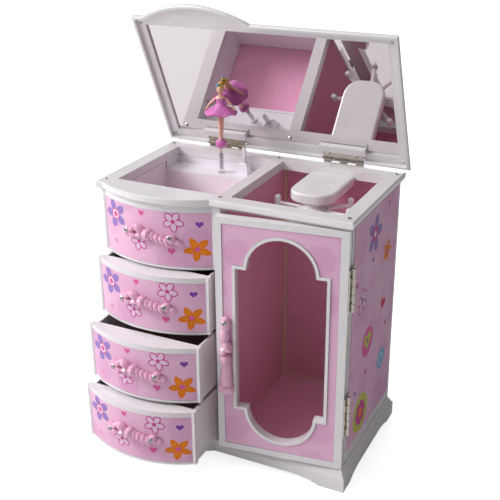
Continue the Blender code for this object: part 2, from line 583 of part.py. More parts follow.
def pinned_cylinder():
    """Drum whose pins stand out of chosen cells in a regular slant."""
    ends = [(1.2, -40.2), (1.2, -39.4)], [(CYL_R, -14.8), (1.2, -14.4), (1.2, -13.4), (1.2, -10.2)]
    rows = [(CYL_R, CYL_X0 + CYL_STEP * i) for i in range(CYL_STEPS + 1)]
    drum = lathe("X", CYL_Y, CYL_Z, ends[0] + rows + ends[1], CYL_SIDES)
    bm = bmesh.new()
    bm.from_mesh(drum.data)
    cells = []
    for face in bm.faces:
        centre = face.calc_center_median() / MM
        y, z = centre.y - CYL_Y, centre.z - CYL_Z
        column = round((centre.x - CYL_X0) / CYL_STEP - 0.5)
        row = round(math.degrees(math.atan2(z, y)) * CYL_SIDES / 360 - 0.5) % CYL_SIDES
        if math.hypot(y, z) > CYL_R - GAP and 1 <= column <= 12 and (column * 7 + row * 5) % 11 == 0:
            cells.append(face)
    for face in cells:
        out = face.normal * 0.5 * MM
        bmesh.ops.inset_individual(bm, faces=[face], thickness=0.42 * MM)
        raised = bmesh.ops.extrude_discrete_faces(bm, faces=[face])
        bmesh.ops.translate(bm, vec=out, verts=raised["faces"][0].verts)
    bm.to_mesh(drum.data)
    bm.free()
    return join(drum, prism(gear(CYL_Y, CYL_Z, 7.0, 1.1, 16), "X", -13.2, -11.6))


node("music_cylinder", pinned_cylinder(), "brass", cylinder_pivot)

COMB_X0, COMB_X1, TINES, SLOT = -38.0, -14.0, 14, 0.25
TINE_TIP, TINE_ROOT, COMB_TOP = 176.6, 189.0, 198.0
tine = (COMB_X1 - COMB_X0) / TINES
comb = []
for i in range(TINES):
    x0, x1 = COMB_X0 + i * tine + SLOT, COMB_X0 + (i + 1) * tine - SLOT
    comb += [(x0, TINE_ROOT), (x0, TINE_TIP), (x1, TINE_TIP), (x1, TINE_ROOT)]
comb += [(COMB_X1, TINE_ROOT), (COMB_X1, COMB_TOP), (COMB_X0, COMB_TOP), (COMB_X0, TINE_ROOT)]
node("music_comb", prism(comb, "Y", 33.9, 34.9), "steel")

fly = [(0.8, 166.0), (0.8, 171.6), (1.9, 172.0), (1.9, 184.0), (0.8, 184.4), (0.8, 198.0)]
governor = lathe("Z", FLY_X, CYL_Y, fly, 12)
join(governor, box(FLY_X - 3.4, FLY_X + 3.4, CYL_Y - 0.5, CYL_Y + 0.5, 187.0, 195.0))
node("governor", governor, "steel", fly_pivot)
shaft = [(1.25, 189.6), (1.25, 203.2), (1.26, 203.55), (3.1, 203.6), (3.1, 203.95)]
spindle = lathe("Z", SPIN_X, SPIN_Y, shaft, 20)
join(spindle, prism(gear(SPIN_X, SPIN_Y, 4.3, 0.8, 16), "Z", 192.0, 193.6))
node("spindle", spindle, "steel", spindle_pivot)
lever = square_tower([(a, a, z) for a, z in ((1.35, 199.0), (1.35, 222.6), (1.0, 224.6), (0.45, LEVER_Z1))])
join(lever, box(LEVER_X - 3.0, LEVER_X + 3.0, LEVER_Y - 1.6, LEVER_Y + 1.6, LEVER_Z0, LEVER_Z0 + 2.0))
node("stop_lever", lever, "white", lever_pivot)

# ---- dancer: drawn round x = 0, y = 0 and facing the front ----
ribs = [(1.75 if i % 2 else 1.55, PIVOT_Z + 12.7 * i / 16) for i in range(17)]
stem = lathe("Z", SPIN_X, SPIN_Y, ribs, 16)
cut(stem, rod("Z", SPIN_X, SPIN_Y, 1.3, PIVOT_Z + 1.4, 230, 14))
node("figurine_stem", stem, "steel", stem_pivot)
node("figurine_rod", rod("Z", 0, 0, 0.9, PIVOT_Z + 1.8, 223.4, 12), "steel", dancer_pivot)

SKIRT_Z = 251.6


def skirt_and_bodice():
    """Wavy oval skirt that runs up into the waist, chest and neck."""
    hem = ((2.5, 2.4, 0.2, 0), (12.9, 10.4, -0.2, 0.8), (13.3, 10.8, 0.8, 0.8))
    skirt = ((9.4, 8.0, 3.6, 0.3), (5.0, 4.4, 6.2, 0))
    bodice = ((2.9, 2.3, 8.4, 0), (3.4, 2.6, 10.4, 0), (4.1, 2.9, 12.2, 0))
    neckline = ((3.2, 2.3, 13.6, 0), (1.2, 1.1, 14.6, 0))
    rings = []
    for a, b, height, wave in hem + skirt + bodice + neckline:
        ring = []
        for i, (u, v) in enumerate(circle(0, 0, 1, 24)):
            ring.append((a * u, b * v, SKIRT_Z + height + wave * math.sin(math.pi * i / 2)))
        rings.append(ring)
    return loft(rings)


shoes = [(1.4, 223.7), (3.6, 224.4), (4.7, 226.6), (4.3, 228.8), (2.5, 230.6)]
legs = [(1.8, 232.0), (1.7, 234.0), (2.1, 238.0), (2.3, 242.0), (2.6, 247.0), (2.8, 253.4)]
dancer = lathe("Z", 0, 0, shoes + legs, 14)
join(dancer, skirt_and_bodice())
for side in (-1, 1):
    shoulder, elbow, hand = (side * 4.0, 0, 263.5), (side * 8.4, -1.0, 259.4), (side * 11.5, -1.6, 254.8)
    join(dancer, limb(shoulder, elbow, 1.2, 1.0), limb(elbow, hand, 1.0, 0.75))
neck = rod("Z", 0, 0, 1.25, 264.6, 268.4, 10)
head = ball((0, -0.3, 270.6), (2.9, 2.9, 3.5), 14, 8)
hair = ball((0, 0.5, 272.0), (3.1, 2.9, 2.6), 14, 7)
bun = ball((0.2, 0.4, 275.2), (1.7, 1.6, 1.7), 12, 6)
join(dancer, neck, head, hair, bun)
node("figurine", dancer, "dress", dancer_pivot)

wings = box(-1.2, 1.2, 3.6, 4.2, 260.2, 264.6)
for side in (-1, 1):
    join(wings, rod("Y", side * 3.9, 262.7, 2.9, 3.62, 4.18, 16, 5))
node("figurine_wings", wings, "dress", dancer_pivot)
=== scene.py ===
"""Looks for the wind up music box: glossy white and pink plastic, printed sheets, mirror, metal works."""
import json
import math

import bmesh
import bpy
from mathutils import Matrix, Vector


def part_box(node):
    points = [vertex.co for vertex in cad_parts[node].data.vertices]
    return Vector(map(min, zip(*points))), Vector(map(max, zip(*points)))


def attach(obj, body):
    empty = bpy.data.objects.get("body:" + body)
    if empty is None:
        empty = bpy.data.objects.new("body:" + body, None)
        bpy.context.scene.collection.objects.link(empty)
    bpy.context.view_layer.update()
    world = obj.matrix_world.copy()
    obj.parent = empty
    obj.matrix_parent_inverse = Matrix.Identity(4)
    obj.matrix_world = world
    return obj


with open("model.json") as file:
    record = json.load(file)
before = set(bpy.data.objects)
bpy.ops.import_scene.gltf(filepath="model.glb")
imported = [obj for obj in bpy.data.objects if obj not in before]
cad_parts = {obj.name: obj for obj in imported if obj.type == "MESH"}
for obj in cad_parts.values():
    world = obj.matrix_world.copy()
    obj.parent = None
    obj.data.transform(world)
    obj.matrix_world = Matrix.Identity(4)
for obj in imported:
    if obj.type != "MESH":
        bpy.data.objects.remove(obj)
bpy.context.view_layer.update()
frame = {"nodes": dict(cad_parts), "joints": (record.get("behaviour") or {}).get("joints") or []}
NODES = frame["nodes"]
MM = 0.001
UP = Vector((0, 0, 1))
FORWARD = Vector((0, -1, 0))
RIGHT = Vector((1, 0, 0))

# ---------------------------------------------------------------- measures from the frame
JOINTS = {joint["name"]: joint for joint in frame["joints"]}
RIM_HALF_DEPTH = 58.0 * MM
RIM_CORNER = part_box("top_rim")[1]
CASE_Y = RIM_CORNER.y - RIM_HALF_DEPTH     # middle of the case, front to back
SPIN = Vector(JOINTS["dancer_spin"]["pos_m"])
LID_AXIS = Vector(JOINTS["lid_hinge"]["pos_m"])
DOOR_AXIS = Vector(JOINTS["door_hinge"]["pos_m"])
LID_TURN = Matrix.Rotation(-math.radians(65), 3, "X")      # from shut to open, as it is posed
DOOR_TURN = Matrix.Rotation(math.radians(7.2), 3, "Z")     # from shut to ajar, as it is posed
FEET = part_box("figurine")[0].z
DANCER_TURN = Matrix.Rotation(math.radians(18), 3, "Z")
FRONTS = {
    "fixed_front": "case",
    "drawer_1": "bottom_drawer",
    "drawer_2": "middle_drawer",
    "drawer_3": "upper_drawer",
}

# The bowed fronts seen from above, in millimetres: the chord, its ends, and the rise of the arc over it.
FRONT_Y = -54.5
BOW_LEFT, BOW_RIGHT, BOW_RISE = -95.5, -5.5, 13.0
BOW_MIDDLE, BOW_HALF = (BOW_LEFT + BOW_RIGHT) / 2, (BOW_RIGHT - BOW_LEFT) / 2
BOW_R = (BOW_HALF * BOW_HALF + BOW_RISE * BOW_RISE) / (2 * BOW_RISE)


def bow(x):
    """How far a bowed front stands out from its chord at x, all in millimetres."""
    if not BOW_LEFT < x < BOW_RIGHT:
        return 0.0
    return math.sqrt(BOW_R * BOW_R - (x - BOW_MIDDLE) ** 2) - (BOW_R - BOW_RISE)


def case_point(x, y, z):
    """Point given in millimetres from the middle of the case."""
    return Vector((x * MM, CASE_Y + y * MM, z * MM))


def lid_point(x, y, z):
    """Point of the lid, given as it lies on the closed case, where the open lid carries it."""
    axis = Vector((0, LID_AXIS.y, LID_AXIS.z))
    return axis + LID_TURN @ (case_point(x, y, z) - axis)


def door_point(x, y, z):
    """Point of the door, given as it lies shut, where the ajar door carries it."""
    axis = Vector((DOOR_AXIS.x, DOOR_AXIS.y, 0))
    return axis + DOOR_TURN @ (case_point(x, y, z) - axis)


def front_point(x, z, out):
    """Point of a shut front that stands out from its bow; x and out in millimetres, z in metres."""
    return Vector((x * MM, CASE_Y + (FRONT_Y - bow(x) - out) * MM, z))


# ---------------------------------------------------------------- camera
CAMERA_TURNS = (26.05, 23.42, -0.40)            # azimuth, elevation and roll in degrees
CAMERA_PLACE = (284.62, -586.64, 438.28)        # millimetres from the middle of the case
CAMERA_LENS, CAMERA_SENSOR = 65.95, 36.0        # millimetres
CAMERA_NEAR, CAMERA_FAR = 0.01, 20              # metres


def make_camera():
    """Camera at the photograph's viewing angle."""
    azimuth, elevation, roll = (math.radians(turn) for turn in CAMERA_TURNS)
    level = math.cos(elevation)
    back = Vector((math.sin(azimuth) * level, -math.cos(azimuth) * level, math.sin(elevation)))
    right = (-back).cross(UP).normalized()
    up = right.cross(-back)
    rolled_right = math.cos(roll) * right + math.sin(roll) * up
    rolled_up = math.cos(roll) * up - math.sin(roll) * right
    place = Matrix((rolled_right, rolled_up, back)).transposed().to_4x4()
    place.translation = case_point(*CAMERA_PLACE)
    camera = bpy.data.objects.new("camera", bpy.data.cameras.new("camera"))
    camera.matrix_world = place
    camera.data.lens = CAMERA_LENS
    camera.data.sensor_width = CAMERA_SENSOR
    camera.data.clip_start = CAMERA_NEAR
    camera.data.clip_end = CAMERA_FAR
    bpy.context.scene.collection.objects.link(camera)
    bpy.context.scene.camera = camera


make_camera()


# ---------------------------------------------------------------- shader nodes
def tree(name):
    """New material, its node tree and its main shader."""
    mat = bpy.data.materials.new(name)
    mat.use_nodes = True
    nt = mat.node_tree
    return mat, nt, nt.nodes["Principled BSDF"]


def add(nt, kind, **values):
    """New node; a value sets the input of that name, or else the node's own setting."""
    shader_node = nt.nodes.new(kind)
    for key, value in values.items():
        if key in shader_node.inputs:
            shader_node.inputs[key].default_value = value
        else:
            setattr(shader_node, key, value)
    return shader_node


def settle(bsdf, **values):
    """Set the main shader's sockets; an underscore in a name stands for a space."""
    for key, value in values.items():
        bsdf.inputs[key.replace("_", " ")].default_value = value


def feed(nt, socket, value):
    """Link a socket to another one, or set it to a plain value."""
    if isinstance(value, bpy.types.NodeSocket):
        nt.links.new(value, socket)
    else:
        socket.default_value = value


def compute(nt, operation, *values):
    """Math node on numbers or sockets."""
    maths = add(nt, "ShaderNodeMath", operation=operation)
    for socket, value in zip(maths.inputs, values):
        feed(nt, socket, value)
    return maths.outputs["Value"]


MIX_INPUTS, MIX_RESULT = (0, 6, 7), 2       # the factor, the two colours and the result of a colour mix


def mixed(nt, factor, first, second):
    """Colour that goes from the first to the second as the factor goes from 0 to 1."""
    mix = add(nt, "ShaderNodeMix", data_type="RGBA")
    for index, value in zip(MIX_INPUTS, (factor, first, second)):
        feed(nt, mix.inputs[index], value)
    return mix.outputs[MIX_RESULT]


def two_tone(nt, fac, dark, light, low=0.0, high=1.0):
    """Colour that goes from dark to light as the factor goes from low to high."""
    ramp = add(nt, "ShaderNodeValToRGB")
    for element, place, colour in zip(ramp.color_ramp.elements, (low, high), (dark, light)):
        element.position = place
        element.color = tuple(colour) + (1,)
    nt.links.new(fac, ramp.inputs["Fac"])
    return ramp.outputs["Color"]


def spread(nt, fac, low, high):
    """Turn a 0 to 1 factor into low to high."""
    rng = add(nt, "ShaderNodeMapRange")
    rng.inputs["To Min"].default_value = low
    rng.inputs["To Max"].default_value = high
    nt.links.new(fac, rng.inputs["Value"])
    return rng.outputs["Result"]


def bump_from(nt, bsdf, height, strength, distance):
    """Bump the shader's surface by a height."""
    bump = add(nt, "ShaderNodeBump", Strength=strength, Distance=distance)
    nt.links.new(height, bump.inputs["Height"])
    nt.links.new(bump.outputs["Normal"], bsdf.inputs["Normal"])


def noise_bump(nt, bsdf, scale, strength, distance, detail=3.0):
    """Bump the shader's surface by noise in object space; give back the coordinates and the noise."""
    coords = add(nt, "ShaderNodeTexCoord")
    noise = add(nt, "ShaderNodeTexNoise", Scale=scale, Detail=detail)
    nt.links.new(coords.outputs["Object"], noise.inputs["Vector"])
    bump_from(nt, bsdf, noise.outputs["Fac"], strength, distance)
    return coords, noise


# ---------------------------------------------------------------- materials
def plastic(name, colour, rough, coat, tint):
    """Moulded plastic: faint cloudiness in the colour and a slightly uneven gloss."""
    mat, nt, bsdf = tree(name)
    coords, _ = noise_bump(nt, bsdf, scale=60.0, strength=0.10, distance=0.0006)
    cloud = add(nt, "ShaderNodeTexNoise", Scale=14.0, Detail=2.0)
    nt.links.new(coords.outputs["Object"], cloud.inputs["Vector"])
    dark = [c * (1 - tint) for c in colour]
    light = [min(1, c * (1 + tint * 0.5)) for c in colour]
    nt.links.new(two_tone(nt, cloud.outputs["Fac"], dark, light), bsdf.inputs["Base Color"])
    nt.links.new(spread(nt, cloud.outputs["Fac"], rough * 0.85, rough * 1.2), bsdf.inputs["Roughness"])
    settle(bsdf, Coat_Weight=coat, Coat_Roughness=0.12)
    return mat


def printed(name, colour, deep):
    """Printed card: soft round bubbles a shade apart over drifting cloud."""
    mat, nt, bsdf = tree(name)
    coords, _ = noise_bump(nt, bsdf, scale=300.0, strength=0.04, distance=0.0002)
    cells = add(nt, "ShaderNodeTexVoronoi", Scale=34.0, Randomness=0.8)
    cloud = add(nt, "ShaderNodeTexNoise", Scale=16.0, Detail=1.0)
    for texture in (cells, cloud):
        nt.links.new(coords.outputs["Object"], texture.inputs["Vector"])
    bubbles = two_tone(nt, cells.outputs["Distance"], (0, 0, 0), (1, 1, 1), low=0.36, high=0.42)
    total = compute(nt, "ADD", compute(nt, "MULTIPLY", bubbles, 0.35), cloud.outputs["Fac"])
    nt.links.new(two_tone(nt, total, deep, colour, low=0.35), bsdf.inputs["Base Color"])
    settle(bsdf, Roughness=0.5, Specular_IOR_Level=0.15)
    return mat


def metal(name, colour, rough, stretch=(1, 1, 40)):
    """Plated metal with fine streaks in its gloss."""
    mat, nt, bsdf = tree(name)
    coords = add(nt, "ShaderNodeTexCoord")
    mapping = add(nt, "ShaderNodeMapping", Scale=stretch)
    streaks = add(nt, "ShaderNodeTexNoise", Scale=180.0, Detail=4.0)
    nt.links.new(coords.outputs["Object"], mapping.inputs["Vector"])
    nt.links.new(mapping.outputs["Vector"], streaks.inputs["Vector"])
    nt.links.new(spread(nt, streaks.outputs["Fac"], rough * 0.6, rough * 1.5), bsdf.inputs["Roughness"])
    bump_from(nt, bsdf, streaks.outputs["Fac"], strength=0.08, distance=0.0003)
    settle(bsdf, Base_Color=colour + (1,), Metallic=1.0)
    return mat


def flock(name, colour, dark):
    """Short flocked pile over card: soft speckle, sheen and fine bump."""
    mat, nt, bsdf = tree(name)
    _, noise = noise_bump(nt, bsdf, scale=900.0, strength=0.35, distance=0.0004, detail=4.0)
    speckle = two_tone(nt, noise.outputs["Fac"], dark, colour, low=0.3, high=0.7)
    nt.links.new(speckle, bsdf.inputs["Base Color"])
    settle(bsdf, Roughness=0.8, Sheen_Weight=0.3, Sheen_Roughness=0.5)
    return mat


def ink(name, colour, rough=0.5, alpha=1.0):
    """Printing ink or tinted film, with a faint grain."""
    mat, nt, bsdf = tree(name)
    _, noise = noise_bump(nt, bsdf, scale=400.0, strength=0.05, distance=0.0002)
    grain = two_tone(nt, noise.outputs["Fac"], [c * 0.94 for c in colour], colour)
    nt.links.new(grain, bsdf.inputs["Base Color"])
    settle(bsdf, Roughness=rough, Specular_IOR_Level=0.12, Alpha=alpha)
    return mat


def clear_plastic(name):
    """Clear sheet with a faint waviness."""
    mat, nt, bsdf = tree(name)
    noise_bump(nt, bsdf, scale=30.0, strength=0.02, distance=0.0003)
    settle(bsdf, Base_Color=(0.35, 0.30, 0.32, 1), Roughness=0.02, IOR=1.45, Alpha=0.03)
    return mat


def plastic_mirror(name):
    """Silvered plastic sheet, slightly wavy."""
    mat, nt, bsdf = tree(name)
    noise_bump(nt, bsdf, scale=9.0, strength=0.05, distance=0.004, detail=1.0)
    settle(bsdf, Base_Color=(0.74, 0.705, 0.715, 1), Metallic=1.0, Roughness=0.015)
    return mat


# Places on the dancer: heights above the feet, and distances from the axis that the dancer turns on.
SHOE_TOP, HEM, SKIRT_EDGE, BUST, HAIR_LINE, CROWN = (h * MM for h in (7.5, 26.5, 27.9, 39.9, 44.8, 49.0))
SKIRT_R, SKIRT_TAPER = 14.8 * MM, 1.25      # reach at the skirt's edge, and how it shrinks above it
BODICE_R = 4.6 * MM
HAIR_SLANT, HAIR_FRONT = -0.3, -0.2 * MM    # the hair covers the part behind this slanted line
SKIN, DRESS, HAIR = (0.82, 0.45, 0.33, 1), (0.68, 0.17, 0.50, 1), (0.80, 0.48, 0.08, 1)


def painted_figure(name):
    """Skin, glittering dress and shoes, and fair hair, told apart by height and distance from the axis."""
    mat, nt, bsdf = tree(name)
    coords = add(nt, "ShaderNodeTexCoord")
    split = add(nt, "ShaderNodeSeparateXYZ")
    nt.links.new(coords.outputs["Object"], split.inputs["Vector"])
    x = compute(nt, "SUBTRACT", split.outputs["X"], SPIN.x)
    y = compute(nt, "SUBTRACT", split.outputs["Y"], SPIN.y)
    z = split.outputs["Z"]
    squares = compute(nt, "ADD", compute(nt, "MULTIPLY", x, x), compute(nt, "MULTIPLY", y, y))
    reach = compute(nt, "SQRT", squares)

    shoe = compute(nt, "LESS_THAN", z, FEET + SHOE_TOP)
    over_edge = compute(nt, "SUBTRACT", z, FEET + SKIRT_EDGE)
    skirt_reach = compute(nt, "SUBTRACT", SKIRT_R, compute(nt, "MULTIPLY", over_edge, SKIRT_TAPER))
    in_skirt = compute(nt, "LESS_THAN", reach, skirt_reach)
    in_bodice = compute(nt, "LESS_THAN", reach, BODICE_R)
    over_hem = compute(nt, "GREATER_THAN", z, FEET + HEM)
    under_bust = compute(nt, "LESS_THAN", z, FEET + BUST)
    between = compute(nt, "MULTIPLY", over_hem, under_bust)
    body = compute(nt, "MULTIPLY", between, compute(nt, "MAXIMUM", in_skirt, in_bodice))
    dressed = compute(nt, "MAXIMUM", shoe, body)

    behind = compute(nt, "ADD", compute(nt, "MULTIPLY", x, HAIR_SLANT), y)
    at_back = compute(nt, "GREATER_THAN", behind, HAIR_FRONT)
    at_crown = compute(nt, "GREATER_THAN", z, FEET + CROWN)
    on_head = compute(nt, "GREATER_THAN", z, FEET + HAIR_LINE)
    haired = compute(nt, "MULTIPLY", on_head, compute(nt, "MAXIMUM", at_back, at_crown))

    colour = mixed(nt, haired, mixed(nt, dressed, SKIN, DRESS), HAIR)
    nt.links.new(colour, bsdf.inputs["Base Color"])
    glitter = add(nt, "ShaderNodeTexVoronoi", Scale=1400.0)
    nt.links.new(coords.outputs["Object"], glitter.inputs["Vector"])
    bump_from(nt, bsdf, glitter.outputs["Distance"], strength=0.3, distance=0.0004)
    settle(bsdf, Roughness=0.3, Coat_Weight=0.5)
    return mat


WHITE = plastic("white_gloss", (0.80, 0.775, 0.80), rough=0.26, coat=0.35, tint=0.03)
TRAY_WHITE = plastic("tray_white", (0.86, 0.82, 0.87), rough=0.35, coat=0.1, tint=0.03)
PINK_PLASTIC = plastic("pink_pull", (0.86, 0.47, 0.65), rough=0.25, coat=0.4, tint=0.08)
CARD_EDGE = plastic("card_edge", (0.74, 0.50, 0.36), rough=0.6, coat=0.0, tint=0.1)
# Near-black painted shade, put on the screws' crosses for the shadow in their recesses.
PAINTED_RECESS_SHADE = plastic("painted_recess_shade", (0.05, 0.05, 0.055), rough=0.5, coat=0.0, tint=0.1)
PRINT = printed("print_pink", (0.83, 0.51, 0.69), deep=(0.74, 0.39, 0.60))
LINING = flock("cabin_flock", (0.80, 0.33, 0.48), dark=(0.68, 0.25, 0.39))
TRAY_LINING = flock("tray_flock", (0.86, 0.42, 0.60), dark=(0.76, 0.34, 0.51))
DRAWER_LINING = flock("drawer_flock", (0.62, 0.34, 0.36), dark=(0.50, 0.26, 0.28))
NICKEL = metal("nickel", (0.60, 0.56, 0.50), rough=0.16)
DARK_NICKEL = metal("dark_nickel", (0.40, 0.34, 0.27), rough=0.26)
STEEL = metal("steel", (0.60, 0.60, 0.62), rough=0.28)
BRASS = metal("brass", (0.80, 0.58, 0.26), rough=0.25)
DARK_STEEL = metal("screw_steel", (0.52, 0.51, 0.52), rough=0.25, stretch=(1, 1, 1))
PANE = clear_plastic("clear_pane")
MIRROR = plastic_mirror("mirror_face")
FIGURE = painted_figure("painted_figure")
WINGS = ink("wing_film", (0.70, 0.16, 0.52), rough=0.15, alpha=0.8)
INKS = {
    "lavender": ink("ink_lavender", (0.34, 0.22, 0.56)),
    "magenta": ink("ink_magenta", (0.62, 0.07, 0.32)),
    "pale": ink("ink_pale", (0.84, 0.60, 0.78)),
    "rose": ink("ink_rose", (0.76, 0.13, 0.37)),
    "purple": ink("ink_purple", (0.22, 0.07, 0.42)),
    "orange": ink("ink_orange", (0.86, 0.22, 0.015)),
    "amber": ink("ink_amber", (0.86, 0.32, 0.02)),
    "faint": ink("ink_faint", (0.80, 0.34, 0.55)),
    "white": ink("ink_white", (0.85, 0.76, 0.84)),
    "lime": ink("ink_lime", (0.55, 0.58, 0.09)),
    "blue": ink("ink_blue", (0.20, 0.44, 0.70)),
    "red": ink("ink_red", (0.62, 0.02, 0.08)),
}

# ---------------------------------------------------------------- looks of the CAD nodes
LOOKS = (
    (WHITE, "base_plinth left_wall right_wall back_panel centre_partition top_rim"),
    (WHITE, "fixed_front drawer_1 drawer_2 drawer_3 carousel_arm carousel_hub"),
    (WHITE, "lid_shell lid_bezel door_frame stop_lever"),
    (TRAY_WHITE, "jewellery_tray movement_cover drawer_shelf_1 drawer_shelf_2 drawer_shelf_3"),
    (PRINT, "fixed_front_print drawer_1_print drawer_2_print drawer_3_print"),
    (PRINT, "side_print_left side_print_right door_print"),
    (PINK_PLASTIC, "fixed_front_pull drawer_1_pull drawer_2_pull drawer_3_pull door_pull"),
    (LINING, "cabin_lining"),
    (TRAY_LINING, "tray_lining"),
    (DRAWER_LINING, "drawer_1_lining drawer_2_lining drawer_3_lining"),
    (NICKEL, "lid_hinge_case_leaf_2 lid_hinge_lid_leaf_2 door_hinge_case_leaf_1 door_hinge_case_leaf_2"),
    (NICKEL, "door_hinge_door_leaf_1 door_hinge_door_leaf_2 winding_key figurine_rod"),
    (DARK_NICKEL, "lid_hinge_case_leaf_1 lid_hinge_lid_leaf_1"),
    (STEEL, "movement_plate music_comb governor figurine_stem spindle"),
    (BRASS, "music_cylinder spring_barrel"),
    (PANE, "door_pane"),
    (MIRROR, "lid_mirror"),
    (FIGURE, "figurine"),
    (WINGS, "figurine_wings"),
)
SOFT_EDGES = {
    0.35: "fixed_front drawer_1 drawer_2 drawer_3 top_rim lid_shell door_frame base_plinth lid_bezel",
    0.25: "jewellery_tray movement_cover carousel_arm carousel_hub stop_lever",
}
SHARP_ANGLE = math.radians(35)


def give_looks():
    """Give each CAD node its material."""
    for mat, names in LOOKS:
        for name in names.split():
            NODES[name].data.materials.clear()
            NODES[name].data.materials.append(mat)


def soften_edges():
    """Round the sharp edges of the mouldings by a width in millimetres."""
    for width, names in SOFT_EDGES.items():
        for name in names.split():
            bevel = NODES[name].modifiers.new("soft_edges", "BEVEL")
            bevel.width = width * MM
            bevel.segments = 2
            bevel.limit_method = "ANGLE"
            bevel.angle_limit = SHARP_ANGLE


give_looks()
soften_edges()


# ---------------------------------------------------------------- printed sheets
def finish_piece(name, bm, mats, body):
    """Make a piece of the mesh, which rides on a body and takes its finish from a slot."""
    mesh = bpy.data.meshes.new(name)
    bm.to_mesh(mesh)
    bm.free()
    for mat in mats:
        mesh.materials.append(mat)
    ob = bpy.data.objects.new(name, mesh)
    bpy.context.scene.collection.objects.link(ob)
    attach(ob, body)


LIFTS = (0.05, 0.06, 0.07, 0.09, 0.10, 0.12)    # millimetres from the sheet to each layer of ink


class Sheet:
    """Flat shapes printed on a sheet; place turns sheet millimetres and a lift into a point."""

    def __init__(self, body, place):
        self.body, self.place = body, place
        self.shapes = []

    def draw(self, points, colour, layer=0):
        self.shapes.append((points, INKS[colour], LIFTS[layer]))

    def build(self, name):
        bm = bmesh.new()
        mats = []
        for points, mat, lift in self.shapes:
            if mat not in mats:
                mats.append(mat)
            rim = [bm.verts.new(self.place(u, v, lift)) for u, v in points]
            mean = [sum(p[k] for p in points) / len(points) for k in (0, 1)]
            middle = bm.verts.new(self.place(*mean, lift))
            for a, b in zip(rim, rim[1:] + rim[:1]):
                bm.faces.new((middle, a, b)).material_index = mats.index(mat)
        finish_piece(name, bm, mats, self.body)


def around(count):
    """Angles evenly round a circle."""
    return [2 * math.pi * i / count for i in range(count)]


def offset(cu, cv, along, aside, a):
    """Point that lies along and aside from a centre, in a direction a."""
    return (cu + along * math.cos(a) - aside * math.sin(a), cv + along * math.sin(a) + aside * math.cos(a))


def disc(cu, cv, r, count=20):
    return [(cu + r * math.cos(a), cv + r * math.sin(a)) for a in around(count)]


def star(cu, cv, r, points, depth, turn=0.0):
    """Flower outline whose radius swings between r and r * (1 - depth)."""
    out = []
    for a in around(60):
        swing = 1 - depth + depth * abs(math.cos(points * (a - turn) / 2)) ** 0.7
        out.append((cu + r * swing * math.cos(a), cv + r * swing * math.sin(a)))
    return out


def heart(cu, cv, size, tilt=0.0):
    """Heart curve of a width; a negative size stands it on its head."""
    out = []
    for t in around(28):
        x = math.sin(t) ** 3 * size / 2
        y = (13 * math.cos(t) - 5 * math.cos(2 * t) - 2 * math.cos(3 * t) - math.cos(4 * t)) * size / 32
        out.append(offset(cu, cv, x, y, tilt))
    return out


def petal(cu, cv, r, a, inner, width, pinch=0.0):
    """One petal that runs from r * inner out to r in direction a, its outer half narrowed by pinch."""
    out = []
    for t in around(18):
        reach = r * (inner + 1) / 2 + r * (1 - inner) / 2 * math.cos(t)
        side = width * r * math.sin(t) * (1.0 - pinch * max(0.0, math.cos(t)))
        out.append(offset(cu, cv, reach, side, a))
    return out


PETALS = 5
POINTED = 0.28


def lavender_flower(sheet, cu, cv, r, turn):
    for a in around(PETALS):
        sheet.draw(petal(cu, cv, r, turn + a, 0.2, 0.29), "lavender")
    sheet.draw(disc(cu, cv, r * 0.40), "rose", 1)
    sheet.draw(disc(cu, cv, r * 0.31), "white", 2)
    sheet.draw(disc(cu, cv, r * 0.20), "rose", 3)


def outlined_flower(sheet, cu, cv, r, turn):
    for a in around(PETALS):
        sheet.draw(petal(cu, cv, r, turn + a, 0.04, 0.35), "magenta")
        sheet.draw(petal(cu, cv, r * 0.90, turn + a, 0.18, 0.265), "pale", 2)
    sheet.draw(disc(cu, cv, r * 0.14), "magenta", 3)


def orange_flower(sheet, cu, cv, r, turn):
    for a in around(PETALS):
        sheet.draw(petal(cu, cv, r, turn + a, 0.06, 0.275, POINTED), "orange")
        sheet.draw(petal(cu, cv, r * 0.76, turn + a, 0.4, 0.09, POINTED), "amber", 2)
    sheet.draw(star(cu, cv, r * 0.22, 5, 0.4, turn), "rose", 3)


def front_sheet(owner):
    """Flowers and hearts on a bowed front, measured from the sheet's top right corner."""
    lo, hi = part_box(owner + "_print")

    def place(u, v, lift):
        x = hi.x - u * MM
        return Vector((x, lo.y + (BOW_RISE - bow(x / MM) - lift) * MM, hi.z - v * MM))

    sheet = Sheet(FRONTS[owner], place)
    lavender_flower(sheet, 76.9, 10.4, 11.0, -1.2)
    sheet.draw(heart(50.8, 3.4, -5.0), "rose")
    outlined_flower(sheet, 25.7, 7.0, 8.2, 0.42)
    sheet.draw(heart(7.5, 8.4, -5.4), "purple")
    orange_flower(sheet, 9.2, 27.6, 9.8, 1.45)
    sheet.draw(heart(27.5, 29.9, -6.0), "rose")
    sheet.draw(heart(78.1, 32.2, -4.8, 0.4), "faint")
    outlined_flower(sheet, 54.0, 26.4, 7.6, 1.3)
    sheet.build(owner + "_flowers")


SIDE_HEARTS = (
    (41, 141, 4.5, "purple"),
    (73, 174, 4.5, "magenta"),
    (8, 134, 5, "magenta"),
    (79, 72, 5, "magenta"),
    (35.5, 50.7, 5, "magenta"),
    (12.7, 43.3, 4.5, "purple"),
)


